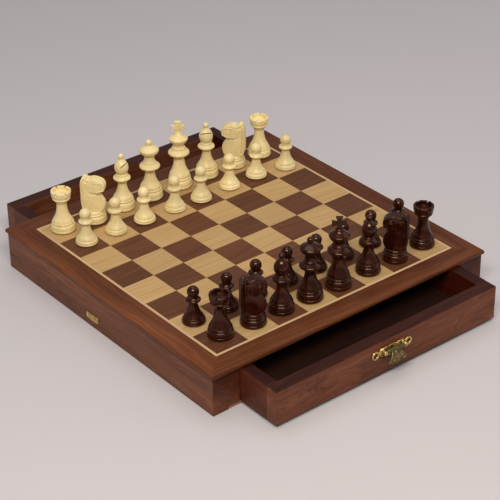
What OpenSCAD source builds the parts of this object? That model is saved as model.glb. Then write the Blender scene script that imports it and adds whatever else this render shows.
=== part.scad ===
// Chess set on a box board with two opposed drawers.
// Frame: origin at the middle of the box's underside, +Z up, +Y towards the light pieces.

/* [Board] */
// Side of one square of the playing field
square = 32; // [24:0.5:60]
// Width of the light inlay line round the field
string_w = 2.4; // [1:0.1:5]
// Width of the dark border rails
border_w = 20.1; // [10:0.1:40]
// Thickness of the border rails
border_t = 4.8; // [3:0.1:10]
// Thickness of the squares and of the inlay line
tile_t = 1.6; // [0.6:0.1:3]
// Radius of the rounded upper edge of the border
border_round = 2.7; // [0.5:0.1:4]

/* [Box] */
// Height of the whole box, table to playing surface
box_h = 40; // [30:0.5:80]
// How far the border overhangs the box on every side
overhang = 1.5; // [0:0.1:6]
// Thickness of the two solid side blocks
side_t = 27.4; // [12:0.2:40]
// Thickness of the bottom panel
bottom_t = 2.8; // [2:0.1:6]
// Thickness of the divider between the two drawers
divider_t = 6; // [3:0.5:15]

/* [Drawers] */
// Side and upper running gap of a drawer
drawer_gap = 0.5; // [0.2:0.1:2]
// Gap between drawer and bottom panel
drawer_lift = 0.3; // [0.1:0.1:1]
// Thickness of a drawer front
front_t = 13; // [8:0.5:20]
// Thickness of the drawer sides
dside_t = 11; // [5:0.5:16]
// Thickness of the drawer back
dback_t = 9; // [5:0.5:16]
// Thickness of the drawer floor
floor_t = 3; // [2:0.5:6]
// How far the front drawer stands open
open_front = 44.7; // [0:0.1:100]
// How far the back drawer stands open
open_back = 46.5; // [0:0.1:100]

/* [Pulls] */
// Half distance of the two hinge posts
post_x = 11; // [8:0.5:16]
// Half distance of the two scroll rings
ring_x = 18; // [14:0.5:26]
// Height of the hinge axis above the table
pull_z = 26.4; // [20:0.1:32]
// Distance of the hinge axis from the drawer front
pull_out = 4.4; // [3.5:0.1:7]
// Length of the hanging shell
shell_len = 12.5; // [8:0.5:18]
// Radius of the hinge pins of the shell
hinge_r = 1.0; // [0.6:0.05:1.5]

/* [Name plate] */
// Length of the blank brass plate
plate_l = 17.4; // [8:0.2:40]
// Height of the blank brass plate
plate_h = 6.4; // [4:0.2:12]

/* [Men] */
// Base radius of the king, queen and bishops
base_r = 11.4; // [8:0.1:20]
// Base radius of the rooks and knights
base_rk = 11.2; // [8:0.1:20]
// Base radius of the pawns
base_rp = 10; // [7:0.1:18]
// Height scale of all men
men_k = 1; // [0.8:0.01:1.3]
// Thickness of the felt under each man
felt_t = 0.6; // [0.4:0.1:2]

/* [Hidden] */
$fn = 96;
glue = 0.05;
field = 8 * square;
inner_half = field / 2 + string_w;
board_half = inner_half + border_w;
box_half = board_half - overhang;
top_z = box_h - border_t;
tile_z = box_h - tile_t;
bay_half = box_half - side_t;
drawer_half = bay_half - drawer_gap;
drawer_z = bottom_t + drawer_lift;
drawer_top = top_z - drawer_gap + 0.1;
drawer_len = box_half - divider_t / 2 - 0.5;
groove = 4;
floor_z = drawer_z + 2.2;
screw_x = bay_half + 6;
rebate = 12;

// white men stand at +Y, dark men at -Y; small offsets as set down by hand, in mm
white_dx = [0.2, -1, 0.4, -0.6, 0.8, 0.3, 0.6, 0.4];
white_dy = [2.4, -2.1, 0.5, 0.4, 0.6, 0.2, -0.4, 0.8];
wpawn_dx = [3.2, 2.4, 1.2, 2.6, 0.2, 2.8, 3.2, 3.4];
wpawn_dy = [2, 1.2, 0.6, -0.3, -0.9, 1, 1.6, -2.8];
black_dx = [3, 2.4, 0.6, -1.4, -2.3, 0.2, 0.1, 2.2];
black_dy = [3.2, 0.1, 0.4, -0.7, -1, -0.3, 0, 2.1];
bpawn_dx = [-1.4, 0.4, -0.4, 1, 0.8, 0.4, 0.2, 0.6];
bpawn_dy = [1, 0.4, 0.6, 0.2, -0.4, 0.2, 0.3, -0.2];

// ---------- helpers ----------
function arcp(cx, cz, r, a0, a1, n) =
  [for (k = [0:n]) [cx + r * cos(a0 + (a1 - a0) * k / n), cz + r * sin(a0 + (a1 - a0) * k / n)]];
function bz(a, b, c, d, t) =
  pow(1 - t, 3) * a + 3 * t * pow(1 - t, 2) * b + 3 * t * t * (1 - t) * c + pow(t, 3) * d;
function curve(a, b, c, d, n) = [for (k = [0:n]) bz(a, b, c, d, k / n)];
function up(pts) = [for (p = pts) [p[0], p[1] * men_k]];

module box_at(x0, x1, y0, y1, z0, z1) {
  translate([x0, y0, z0]) cube([x1 - x0, y1 - y0, z1 - z0]);
}

// ---------- board ----------
module squares(parity) {
  for (i = [0:7])
    for (j = [0:7])
      if ((i + j) % 2 == parity)
        translate([(i - 4) * square, (j - 4) * square, tile_z]) cube([square, square, tile_t]);
}

module dark_squares() { color([0.24, 0.13, 0.08]) squares(0); }

module light_squares() { color([0.78, 0.60, 0.38]) squares(1); }

module strip() {
  a = field / 2;
  m = 0.04;
  translate([0, 0, tile_z])
    linear_extrude(tile_t)
      polygon([[-a + m, -a], [-a - string_w + m, -a - string_w],
        [a + string_w - m, -a - string_w], [a - m, -a]]);
}

module stringing() {
  color([0.80, 0.62, 0.42])
    for (k = [0:3])
      rotate([0, 0, 90 * k]) strip();
}

module top_panel() {
  color([0.55, 0.38, 0.22])
    box_at(-inner_half, inner_half, -inner_half, inner_half, top_z, tile_z);
}

// one mitred rail along the -Y edge, its upper outer edge rounded
module rail() {
  b = board_half;
  r = border_round;
  e = 0.9;
  section = concat(
    [[-b + border_w, top_z], [-b + border_w, box_h]],
    arcp(-b + r, box_h - r, r, 90, 180, 10),
    arcp(-b + e, top_z + e, e, 180, 270, 6));
  intersection() {
    translate([b, 0, 0])
      rotate([90, 0, -90])
        linear_extrude(2 * b) polygon([for (p = section) [-p[0], p[1]]]);
    translate([0, 0, top_z - 1])
      linear_extrude(border_t + 2) polygon([[0, 0], [-b - 1, -b - 1], [b + 1, -b - 1]]);
  }
}

module border_long() {
  color([0.32, 0.16, 0.09]) {
    rail();
    rotate([0, 0, 180]) rail();
  }
}

module border_side() {
  color([0.30, 0.15, 0.09]) {
    rotate([0, 0, 90]) rail();
    rotate([0, 0, -90]) rail();
  }
}

// ---------- box ----------
module screw_holes(z0, z1, r) {
  for (sx = [-1, 1])
    for (y = [-120, -40, 40, 120])
      translate([sx * screw_x, y, z0]) cylinder(r = r, h = z1 - z0);
}

module side_block() {
  difference() {
    box_at(bay_half, box_half, -box_half, box_half, 0, top_z);
    box_at(bay_half - 1, bay_half + rebate, -box_half - 1, box_half + 1, -1, bottom_t);
    screw_holes(bottom_t - 1, bottom_t + 12.5, 1.5);
  }
}

module side_right() { color([0.36, 0.19, 0.11]) side_block(); }

module plate_pin_holes(r, d) {
  for (s = [-1, 1])
    translate([-box_half - 0.01, plate_y + s * (plate_l / 2 - 2.2), plate_z])
      rotate([0, 90, 0]) cylinder(r = r, h = d);
}

plate_y = 17.6;
plate_z = 10.4;

module side_left() {
  color([0.36, 0.19, 0.11])
    difference() {
      mirror([1, 0, 0]) side_block();
      plate_pin_holes(0.6, 6);
    }
}

module bottom_panel() {
  color([0.42, 0.27, 0.16])
    difference() {
      w = bay_half + rebate - 0.2;
      box_at(-w, w, -box_half + 0.6, box_half - 0.6, 0, bottom_t);
      screw_holes(-1, bottom_t + 1, 1.7);
      for (sx = [-1, 1])
        for (y = [-120, -40, 40, 120])
          translate([sx * screw_x, y, -0.01]) cylinder(r1 = 3.2, r2 = 1.7, h = 1.6);
    }
}

module divider() {
  color([0.42, 0.27, 0.16])
    box_at(-bay_half, bay_half, -divider_t / 2, divider_t / 2, bottom_t, top_z);
}

module panel_screws() {
  color([0.70, 0.70, 0.72])
    for (sx = [-1, 1])
      for (y = [-120, -40, 40, 120])
        translate([sx * screw_x, y, 0])
          difference() {
            rotate_extrude()
              polygon([[0, 0], [3, 0], [1.45, 1.5], [1.45, 12], [0, 14]]);
            translate([-2.4, -0.35, -1]) cube([4.8, 0.7, 1.7]);
            translate([-0.35, -2.4, -1]) cube([0.7, 4.8, 1.7]);
          }
}

// blank brass plate with cut corners
module name_plate() {
  l = plate_l / 2;
  h = plate_h / 2;
  color([0.80, 0.62, 0.28])
    difference() {
      translate([-box_half, plate_y, plate_z])
        rotate([90, 0, -90])
          linear_extrude(0.8)
            difference() {
              square([2 * l, 2 * h], center = true);
              for (sx = [-1, 1])
                for (sy = [-1, 1])
                  translate([sx * l, sy * h]) circle(r = 1.1, $fn = 32);
            }
      translate([-1, 0, 0]) plate_pin_holes(0.62, 3);
    }
}

module plate_pins() {
  color([0.84, 0.68, 0.34])
    for (s = [-1, 1])
      translate([-box_half, plate_y + s * (plate_l / 2 - 2.2), plate_z])
        rotate([0, 90, 0])
          rotate_extrude()
            polygon([[0, -1.45], [0.5, -1.4], [0.9, -1.15], [1.05, -0.85], [0.55, -0.85], [0.55, 5],
              [0, 5.6]]);
}

// ---------- drawers, drawn closed at the -Y side ----------
module drawer_at(back) {
  if (back)
    rotate([0, 0, 180]) translate([0, -open_back, 0]) children();
  else
    translate([0, -open_front, 0]) children();
}

module d_front() {
  w = drawer_half;
  difference() {
    box_at(-w, w, -box_half, -box_half + front_t, drawer_z, drawer_top);
    box_at(-w + dside_t - groove, w - dside_t + groove, -box_half + front_t - groove,
      -box_half + front_t + 1, floor_z, floor_z + floor_t);
    for (s = [-1, 1])
      translate([4.4 * s, -box_half - 1, pull_z - 2])
        rotate([-90, 0, 0]) cylinder(r = 0.85, h = 9.4);
  }
}

module d_sides() {
  w = drawer_half;
  y0 = -box_half + front_t;
  y1 = -box_half + drawer_len;
  for (m = [0, 1])
    mirror([m, 0, 0])
      difference() {
        box_at(w - dside_t, w, y0, y1, drawer_z, drawer_top);
        box_at(w - dside_t - 1, w - dside_t + groove, y0 - 1, y1 + 1, floor_z, floor_z + floor_t);
      }
}

module d_back() {
  w = drawer_half - dside_t;
  y1 = -box_half + drawer_len;
  box_at(-w, w, y1 - dback_t, y1, floor_z + floor_t, drawer_top);
}

module d_floor() {
  w = drawer_half - dside_t + groove - 0.1;
  y0 = -box_half + front_t - groove + 0.1;
  box_at(-w, w, y0, -box_half + drawer_len, floor_z, floor_z + floor_t);
}

// ---------- pull: origin on the drawer face under the hinge axis, -Y outwards ----------
function arm_z(x) = -2.2 + 3.6 * pow(cos(x * 5), 2);

function low_z(x) = abs(x) < 6 ? -2.6 - 5 * sqrt(1 - pow(x / 6.05, 2)) : arm_z(x) - 1.3;

module arm2d() {
  n = 48;
  x0 = 15.2;
  top = [for (k = [0:n]) [x0 * (2 * k / n - 1), arm_z(x0 * (2 * k / n - 1)) + 1.3]];
  low = [for (k = [n:-1:0]) [x0 * (2 * k / n - 1), low_z(x0 * (2 * k / n - 1))]];
  polygon(concat(top, low));
}

// post with a chamfered end, standing out of the drawer face
module post() {
  rotate([90, 0, 0])
    rotate_extrude()
      polygon([[0, 0], [2.9, 0], [2.9, 1.3], [2.2, 1.9], [2.2, pull_out + 1.6],
        [1.9, pull_out + 2], [1.3, pull_out + 2.3], [0, pull_out + 2.3]]);
}

module scroll() {
  rotate([90, 0, 0])
    rotate_extrude()
      polygon([[2.1, 0], [4, 0], [4.1, 0.9], [3.6, 1.6], [3.05, 1.9], [2.5, 1.6], [2, 0.9]]);
}

module pull_plate_raw() {
  difference() {
    union() {
      rotate([90, 0, 0]) linear_extrude(1.2) arm2d();
      for (s = [-1, 1]) {
        translate([s * ring_x, 0, -1.8]) scroll();
        translate([s * post_x, 0, 0]) post();
      }
    }
    for (s = [-1, 1])
      translate([4.4 * s, 1, -2]) rotate([90, 0, 0]) cylinder(r = 0.9, h = 4);
    translate([-post_x - 1.2, -pull_out, 0])
      rotate([0, 90, 0]) cylinder(r = hinge_r + 0.06, h = 2 * post_x + 2.4);
  }
}

module pull_pins_raw() {
  for (s = [-1, 1])
    translate([4.4 * s, 0, -2])
      rotate([90, 0, 0])
        rotate_extrude()
          polygon([[0, -7.9], [0.8, -7.2], [0.8, 1.25], [1.7, 1.25], [1.5, 1.7], [0.9, 2], [0, 2.1]]);
}

shell_c = [5.4, -7];
shell_r = 8.85;

// fan outline seen from the front
module fan2d(grow) {
  a = 40;
  n = 36;
  cz = 4.2;
  rim = [for (k = [0:n]) let (t = -a + 2 * a * k / n)
    let (rr = shell_len + cz + grow + 0.55 * abs(sin(t * 4.5)))
      [rr * sin(t), cz - rr * cos(t)]];
  polygon(concat([[post_x - 3, 0.6], [-post_x + 3, 0.6]], rim));
}

module shell_tube(ro, ri) {
  translate([0, shell_c[0], shell_c[1]])
    rotate([0, 90, 0])
      difference() {
        cylinder(r = ro, h = 40, center = true);
        cylinder(r = ri, h = 42, center = true);
      }
}

// hanging shell with its heel, which rests on the plate and stops the shell
module shell_raw() {
  intersection() {
    union() {
      shell_tube(shell_r + 0.6, shell_r - 0.9);
      intersection() {
        shell_tube(shell_r + 1.15, shell_r);
        rotate([90, 0, 0])
          linear_extrude(30, center = true)
            for (k = [-3:3])
              polygon([[k * 1.6 - 0.45, 3], [k * 1.6 + 0.45, 3],
                [k * 3.1 + 0.8, -14], [k * 3.1 - 0.8, -14]]);
      }
    }
    translate([0, 2, 0]) rotate([90, 0, 0]) linear_extrude(16) fan2d(0);
  }
  box_at(-2.3, 2.3, 0, pull_out - 1.3, -2.4, -0.6);
  rotate([0, 90, 0]) cylinder(r = 1.7, h = 2 * (post_x - 2.9), center = true);
  rotate([0, 90, 0]) cylinder(r = hinge_r, h = 2 * (post_x + 0.9), center = true);
}

module at_pull(out) { translate([0, -box_half - out, pull_z]) children(); }

module fd_front() { color([0.36, 0.19, 0.11]) drawer_at(false) d_front(); }

module fd_sides() { color([0.34, 0.18, 0.11]) drawer_at(false) d_sides(); }

module fd_back() { color([0.34, 0.18, 0.11]) drawer_at(false) d_back(); }

module fd_floor() { color([0.30, 0.15, 0.10]) drawer_at(false) d_floor(); }

module fd_pull_plate() { color([0.80, 0.62, 0.28]) drawer_at(false) at_pull(0) pull_plate_raw(); }

module fd_pull_pins() { color([0.84, 0.68, 0.34]) drawer_at(false) at_pull(0) pull_pins_raw(); }

module fd_shell() { color([0.80, 0.62, 0.28]) drawer_at(false) at_pull(pull_out) shell_raw(); }

module bd_front() { color([0.36, 0.19, 0.11]) drawer_at(true) d_front(); }

module bd_sides() { color([0.34, 0.18, 0.11]) drawer_at(true) d_sides(); }

module bd_back() { color([0.34, 0.18, 0.11]) drawer_at(true) d_back(); }

module bd_floor() { color([0.30, 0.15, 0.10]) drawer_at(true) d_floor(); }

module bd_pull_plate() { color([0.80, 0.62, 0.28]) drawer_at(true) at_pull(0) pull_plate_raw(); }

module bd_pull_pins() { color([0.84, 0.68, 0.34]) drawer_at(true) at_pull(0) pull_pins_raw(); }

module bd_shell() { color([0.80, 0.62, 0.28]) drawer_at(true) at_pull(pull_out) shell_raw(); }

// ---------- men: profiles as [radius, height above the board] ----------
// the moulded foot that all men share, up to the groove under the bell
function foot(rb, s) = concat(
  [[0, felt_t + glue], [rb - 0.9, felt_t + glue]],
  arcp(rb - 1, felt_t + 1.05, 1, -80, 0, 4),
  [[rb, 2.9 * s], [rb - 0.15, 3.3 * s], [rb - 0.4, 3.5 * s], [rb - 0.3, 3.75 * s]],
  curve([rb - 0.2, 4.1 * s], [rb - 0.35, 6 * s], [rb - 0.6, 7.7 * s], [rb - 1.7, 8.3 * s], 8),
  [[rb - 1.95, 8.45 * s], [rb - 2, 8.75 * s]],
  arcp(rb - 2.05, 9.75 * s, 0.8 * s, -65, 75, 5),
  [[rb - 2.1, 10.75 * s], [rb - 2.1, 11.05 * s]]);

// a turned collar of radius r and half thickness t at height z, over a neck of radius rn
function disc(r, z, t, rn) = concat(
  curve([rn, z - t - 1], [rn + 0.1, z - t - 0.1], [r - 2.4, z - t - 0.1], [r - 0.9, z - t * 0.62], 6),
  curve([r - 0.35, z - t * 0.45], [r + 0.12, z - t * 0.1], [r + 0.1, z + t * 0.35],
    [r - 0.9, z + t * 0.7], 6));

function ball(r, z, rn) = arcp(0, z, r, -acos(rn / r), 90, 14);

pawn_pts = concat(foot(base_rp, 0.6),
  curve([7.8, 6.9], [7.1, 8.4], [4.5, 10.2], [3.6, 18.6], 12),
  disc(6.45, 21.7, 1.7, 3.85),
  [[4.7, 23.6], [4.3, 24.1]],
  ball(5.1, 28.95, 4.2));

rook_pts = concat(foot(base_rk, 0.9),
  curve([9, 10.3], [8.8, 12.6], [5, 14.6], [4.6, 26], 14),
  curve([4.6, 26.6], [4.9, 28.9], [6.2, 30.1], [7.4, 31.2], 7),
  arcp(7.2, 32.4, 0.95, -60, 70, 5),
  [[7.55, 33.7], [8, 34.1], [8.55, 34.5], [8.75, 35.4], [8.95, 37], [9.1, 39.2], [8.95, 39.75],
   [8.6, 40], [7, 40], [6.7, 39.75], [6.5, 36.6], [0, 36.2]]);

bishop_pts = concat(foot(base_r - 0.4, 1),
  curve([8.9, 11.4], [8.8, 13.4], [4.9, 15.2], [4, 25], 14),
  disc(8, 30.9, 1.9, 4.1),
  [[6.1, 33], [5.4, 33.5]],
  arcp(4.75, 34.3, 0.7, -60, 75, 4),
  [[4.5, 35.3], [4.5, 35.7]],
  curve([4.7, 36.1], [7.6, 39.6], [7, 45.6], [2.4, 49.2], 18),
  [[1.8, 49.6], [1.6, 50.1]],
  ball(2.7, 52.4, 1.6));

queen_pts = concat(foot(base_r, 1),
  curve([9.5, 11.5], [9.7, 14.2], [5, 15.8], [4.5, 26.6], 14),
  disc(9.6, 32.3, 2.1, 4.7),
  [[7.2, 34.9], [6.2, 35.6]],
  arcp(5.3, 36.5, 0.75, -60, 75, 4),
  curve([5.2, 37.6], [4.6, 38.8], [4.5, 41], [4.8, 42.8], 7),
  curve([5, 43.4], [6.4, 44.8], [8.5, 45.6], [8.95, 47.8], 8),
  [[9.05, 48.6], [8.95, 49.4], [8.5, 50]],
  curve([8, 50.4], [6.4, 51.4], [4.2, 52.2], [2.3, 53.2], 7),
  [[1.9, 53.6]],
  ball(3, 56, 1.9));

king_pts = concat(foot(base_r, 1),
  curve([9.5, 11.5], [9.9, 14.8], [5.6, 16.8], [4.8, 28.6], 14),
  disc(9.9, 34.9, 2.2, 5.2),
  [[7.6, 37.6], [6.4, 38.3], [6.1, 38.6]],
  arcp(5.55, 39.7, 0.85, -60, 75, 4),
  curve([5.4, 40.9], [5, 41.6], [4.9, 42.4], [5.1, 43.2], 6),
  curve([5.3, 43.6], [6.5, 45.4], [8, 46.2], [8.5, 48.2], 8),
  [[8.8, 48.7], [8.85, 49.6], [8.45, 50.2]],
  curve([8, 50.5], [7, 51.6], [5, 52.6], [3.9, 54.2], 6),
  [[3.5, 55.2], [2.9, 55.9], [0, 55.9]]);

knight_base_pts = concat(foot(base_rk, 0.9),
  curve([9, 10.3], [9, 11], [8.5, 11.4], [8.2, 11.9], 6),
  [[7.8, 12.2], [0, 12.2]]);

// the horse from its side, nose towards +X
knight_side = concat(
  curve([7.4, 11.8], [10.6, 13], [12.8, 18.6], [9.5, 22.8], 12),
  [[5, 27.5], [4.5, 28.2], [5, 29], [8.8, 29.9]],
  curve([10.2, 30.3], [11.4, 31], [11.5, 33.4], [11.3, 36.6], 6),
  [[10.8, 38.2]],
  curve([9.6, 39.8], [7.2, 42.2], [4, 43.8], [0.5, 44], 8),
  [[-2.4, 43], [-4.5, 43]],
  curve([-5, 44], [-5.4, 44.9], [-5.9, 45.4], [-6.5, 45.3], 4),
  curve([-8.5, 44.6], [-10.9, 41.8], [-11.1, 38], [-11.1, 34], 8),
  curve([-11.1, 26], [-11.4, 17], [-10.2, 13.4], [-8, 11.8], 8));

// the horse from its front: flat sides, narrower at the head, ears parted
knight_front = [[-6.2, 11.8], [-6.4, 15], [-6.2, 24], [-5.6, 30], [-5.4, 38], [-4.9, 42],
  [-3.9, 46.4], [-2, 46.4], [-0.8, 43.6], [0.8, 43.6], [2, 46.4], [3.9, 46.4], [4.9, 42],
  [5.4, 38], [5.6, 30], [6.2, 24], [6.4, 15], [6.2, 11.8]];

module turned(pts) { rotate_extrude() polygon(up(pts)); }

module felt(r) { cylinder(r = r, h = felt_t); }

module pawn() {
  turned(pawn_pts);
  felt(base_rp - 0.9);
}

module rook() {
  difference() {
    turned(rook_pts);
    for (a = [0:60:300])
      rotate([0, 0, a + 15]) translate([5, -0.65, 37.8 * men_k]) cube([6, 1.3, 6]);
  }
  felt(base_rk - 0.9);
}

module bishop() {
  difference() {
    turned(bishop_pts);
    translate([1.2, 0, 42.6 * men_k]) rotate([0, -38, 0]) translate([0, -10, 0]) cube([12, 20, 1]);
  }
  felt(base_r - 1.3);
}

module queen() {
  turned(queen_pts);
  felt(base_r - 0.9);
}

module cross2d() {
  polygon([[-2.6, -5.4], [-1.7, -1.7], [-6.3, -2.5], [-6.3, 2.5], [-1.7, 1.7], [-3.1, 6.3],
    [3.1, 6.3], [1.7, 1.7], [6.3, 2.5], [6.3, -2.5], [1.7, -1.7], [2.6, -5.4]]);
}

module king() {
  turned(king_pts);
  translate([0, 1.6, 60.6 * men_k]) rotate([90, 0, 0]) linear_extrude(3.2) cross2d();
  felt(base_r - 0.9);
}

module knight() {
  turned(knight_base_pts);
  difference() {
    intersection() {
      translate([0, 8, 0]) rotate([90, 0, 0]) linear_extrude(16) polygon(up(knight_side));
      translate([-13, 0, 0]) rotate([90, 0, 90]) linear_extrude(26) polygon(up(knight_front));
      translate([0, 0, 5])
        linear_extrude(60)
          polygon([[-12, -3.2], [-8.6, -6.5], [4, -7], [12, -4.2],
            [12, 4.2], [4, 7], [-8.6, 6.5], [-12, 3.2]]);
    }
    for (s = [-1, 1]) {
      // slanting facet on the breast
      translate([-3.7, s * 6.2, 26.5 * men_k]) rotate([s * 5.4, 0, -s * 17])
        translate([-8, s > 0 ? 0 : -12, -20]) cube([30, 12, 21.5]);
      translate([9.9, s * 4.7, 35 * men_k]) sphere(r = 0.8, $fn = 24);
      translate([4, s * 5.7, 38.6 * men_k]) sphere(r = 1, $fn = 24);
    }
    translate([7.8, -8, 32.6 * men_k]) rotate([0, 8, 0]) cube([6, 16, 0.5]);
  }
  felt(base_rk - 0.9);
}

module place(i, j, dx, dy, turn) {
  translate([(i - 3.5) * square + dx, (j - 3.5) * square + dy, box_h])
    rotate([0, 0, turn]) children();
}

module white(i, turn) {
  color([0.86, 0.77, 0.52]) place(i, 7, white_dx[i], white_dy[i], turn) children();
}

module wpawn(i) {
  color([0.86, 0.77, 0.52]) place(i, 6, wpawn_dx[i], wpawn_dy[i], 0) pawn();
}

module black(i, turn) {
  color([0.13, 0.06, 0.05]) place(i, 0, black_dx[i], black_dy[i], turn) children();
}

module bpawn(i) {
  color([0.13, 0.06, 0.05]) place(i, 1, bpawn_dx[i], bpawn_dy[i], 0) pawn();
}

module white_rook_1() { white(0, 10) rook(); }

module white_knight_1() { white(1, -48) knight(); }

module white_bishop_1() { white(2, -60) bishop(); }

module white_queen() { white(3, 0) queen(); }

module white_king() { white(4, -38) king(); }

module white_bishop_2() { white(5, -118) bishop(); }

module white_knight_2() { white(6, 132) knight(); }

module white_rook_2() { white(7, 25) rook(); }

module white_pawn_1() { wpawn(0); }

module white_pawn_2() { wpawn(1); }

module white_pawn_3() { wpawn(2); }

module white_pawn_4() { wpawn(3); }

module white_pawn_5() { wpawn(4); }

module white_pawn_6() { wpawn(5); }

module white_pawn_7() { wpawn(6); }

module white_pawn_8() { wpawn(7); }

module black_rook_1() { black(0, 20) rook(); }

module black_knight_1() { black(1, -26) knight(); }

module black_bishop_1() { black(2, 100) bishop(); }

module black_queen() { black(3, 0) queen(); }

module black_king() { black(4, -40) king(); }

module black_bishop_2() { black(5, -90) bishop(); }

module black_knight_2() { black(6, 130) knight(); }

module black_rook_2() { black(7, 5) rook(); }

module black_pawn_1() { bpawn(0); }

module black_pawn_2() { bpawn(1); }

module black_pawn_3() { bpawn(2); }

module black_pawn_4() { bpawn(3); }

module black_pawn_5() { bpawn(4); }

module black_pawn_6() { bpawn(5); }

module black_pawn_7() { bpawn(6); }

module black_pawn_8() { bpawn(7); }

// ---------- drawing ----------
top_panel();
light_squares();
dark_squares();
stringing();
border_long();
border_side();
side_left();
side_right();
bottom_panel();
divider();
panel_screws();
name_plate();
plate_pins();
fd_front();
fd_sides();
fd_back();
fd_floor();
fd_pull_plate();
fd_pull_pins();
fd_shell();
bd_front();
bd_sides();
bd_back();
bd_floor();
bd_pull_plate();
bd_pull_pins();
bd_shell();
white_rook_1();
white_knight_1();
white_bishop_1();
white_queen();
white_king();
white_bishop_2();
white_knight_2();
white_rook_2();
white_pawn_1();
white_pawn_2();
white_pawn_3();
white_pawn_4();
white_pawn_5();
white_pawn_6();
white_pawn_7();
white_pawn_8();
black_rook_1();
black_knight_1();
black_bishop_1();
black_queen();
black_king();
black_bishop_2();
black_knight_2();
black_rook_2();
black_pawn_1();
black_pawn_2();
black_pawn_3();
black_pawn_4();
black_pawn_5();
black_pawn_6();
black_pawn_7();
black_pawn_8();
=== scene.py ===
"""Looks of the chess set with board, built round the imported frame."""

import math

import bmesh
import bpy
import numpy as np
import openvdb
from mathutils import Euler, Matrix, Vector


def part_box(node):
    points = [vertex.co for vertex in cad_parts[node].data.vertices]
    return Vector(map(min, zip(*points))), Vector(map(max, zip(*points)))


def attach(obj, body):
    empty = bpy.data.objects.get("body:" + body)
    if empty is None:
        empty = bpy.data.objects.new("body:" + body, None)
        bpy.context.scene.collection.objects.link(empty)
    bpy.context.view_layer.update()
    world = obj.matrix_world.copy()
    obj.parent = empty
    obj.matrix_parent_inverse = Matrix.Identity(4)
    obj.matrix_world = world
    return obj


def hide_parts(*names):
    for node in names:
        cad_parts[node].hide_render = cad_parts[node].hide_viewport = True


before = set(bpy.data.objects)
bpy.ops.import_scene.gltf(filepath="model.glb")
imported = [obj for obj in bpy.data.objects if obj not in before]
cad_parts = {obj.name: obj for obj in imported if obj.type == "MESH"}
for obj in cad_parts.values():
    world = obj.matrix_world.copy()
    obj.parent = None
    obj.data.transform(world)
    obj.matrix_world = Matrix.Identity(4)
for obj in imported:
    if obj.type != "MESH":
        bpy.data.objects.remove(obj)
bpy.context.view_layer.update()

MM = 0.001
scene = bpy.context.scene


def cad(node):
    """Lowest and highest corner of a CAD node, in mm."""
    lo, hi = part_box(node)
    return np.array(lo) / MM, np.array(hi) / MM


# --- driving sizes, in mm, read from the frame ---
(_, _, BORDER_Z), (BOARD_HALF, _, BOX_H) = cad("border_long")
(_, _, TILE_Z), (FIELD_HALF, _, _) = cad("dark_squares")
(BAY_HALF, _, _), (BOX_HALF, _, _) = cad("side_right")
INNER_HALF = cad("stringing")[1][0]
SQUARE = FIELD_HALF / 4
HAIR = 0.05    # a joint's gap and the smallest chamfer

# --- node helpers ---


def material(name):
    """An empty node material with a Principled shader: returns the material, its tree and the shader."""
    mat = bpy.data.materials.new(name)
    mat.use_nodes = True
    return mat, mat.node_tree, mat.node_tree.nodes["Principled BSDF"]


def plug(tree, node, inputs):
    """Fills a node's inputs; inputs maps a socket's name or index to a value or to another node's output."""
    for key, value in inputs.items():
        if isinstance(value, bpy.types.NodeSocket):
            tree.links.new(value, node.inputs[key])
        else:
            node.inputs[key].default_value = value


def add(tree, kind, inputs=None, **settings):
    """Adds a shader node with its inputs and settings."""
    node = tree.nodes.new("ShaderNode" + kind)
    for key, value in settings.items():
        setattr(node, key, value)
    plug(tree, node, inputs or {})
    return node


def scaled(tree, vector, x, y, z):
    """The vector with each of its parts multiplied."""
    return add(tree, "VectorMath", {0: vector, 1: (x, y, z)}, operation="MULTIPLY").outputs[0]


def noise(tree, vector, scale, detail=3.0, roughness=0.55, distortion=0.0):
    """Noise from 0 to 1 with a centre near 0.5."""
    return add(tree, "TexNoise", {"Vector": vector, "Scale": scale, "Detail": detail, "Roughness": roughness,
                                  "Distortion": distortion}).outputs["Fac"]


def remap(tree, value, low, high, to_low=0.0, to_high=1.0):
    """A clamped linear change of range."""
    return add(tree, "MapRange", {"Value": value, "From Min": low, "From Max": high, "To Min": to_low,
                                  "To Max": to_high}).outputs["Result"]


def math_node(tree, operation, a, b):
    """One arithmetic step."""
    return add(tree, "Math", {0: a, 1: b}, operation=operation).outputs[0]


def times(tree, a, b):
    """The product of two values."""
    return math_node(tree, "MULTIPLY", a, b)


def ramp(tree, value, stops):
    """A colour ramp through (place, (r, g, b)) stops."""
    node = add(tree, "ValToRGB", {"Fac": value})
    elements = node.color_ramp.elements
    while len(elements) < len(stops):
        elements.new(0.5)
    for element, (place, colour) in zip(elements, stops):
        element.position = place
        element.color = (*colour, 1)
    return node.outputs["Color"]


def blend_colours(tree, factor, a, b, how="MIX"):
    """Mixes two colours."""
    node = add(tree, "Mix", {"Factor": factor}, data_type="RGBA", blend_type=how)
    for socket, value in ((6, a), (7, b)):
        plug(tree, node, {socket: value if isinstance(value, bpy.types.NodeSocket) else (*value, 1)})
    return node.outputs[2]


def tinted(tree, colour, value, stops):
    """A colour multiplied by a ramp of tints."""
    return blend_colours(tree, 1.0, colour, ramp(tree, value, stops), "MULTIPLY")


def brightened(tree, colour, factor):
    """A colour multiplied by one number."""
    grey = add(tree, "CombineXYZ", {0: factor, 1: factor, 2: factor}).outputs[0]
    return blend_colours(tree, 1.0, colour, grey, "MULTIPLY")


def bump(tree, height, strength, distance):
    """A bump normal from a height."""
    return add(tree, "Bump", {"Height": height, "Strength": strength, "Distance": distance}).outputs["Normal"]


def own_wood(tree):
    """A mesh's own place in the tree it was cut from, in mm, and its tone from 0 to 1."""
    grain = add(tree, "Attribute", attribute_name="grain").outputs["Vector"]
    return grain, add(tree, "Attribute", attribute_name="tone").outputs["Fac"]


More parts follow.
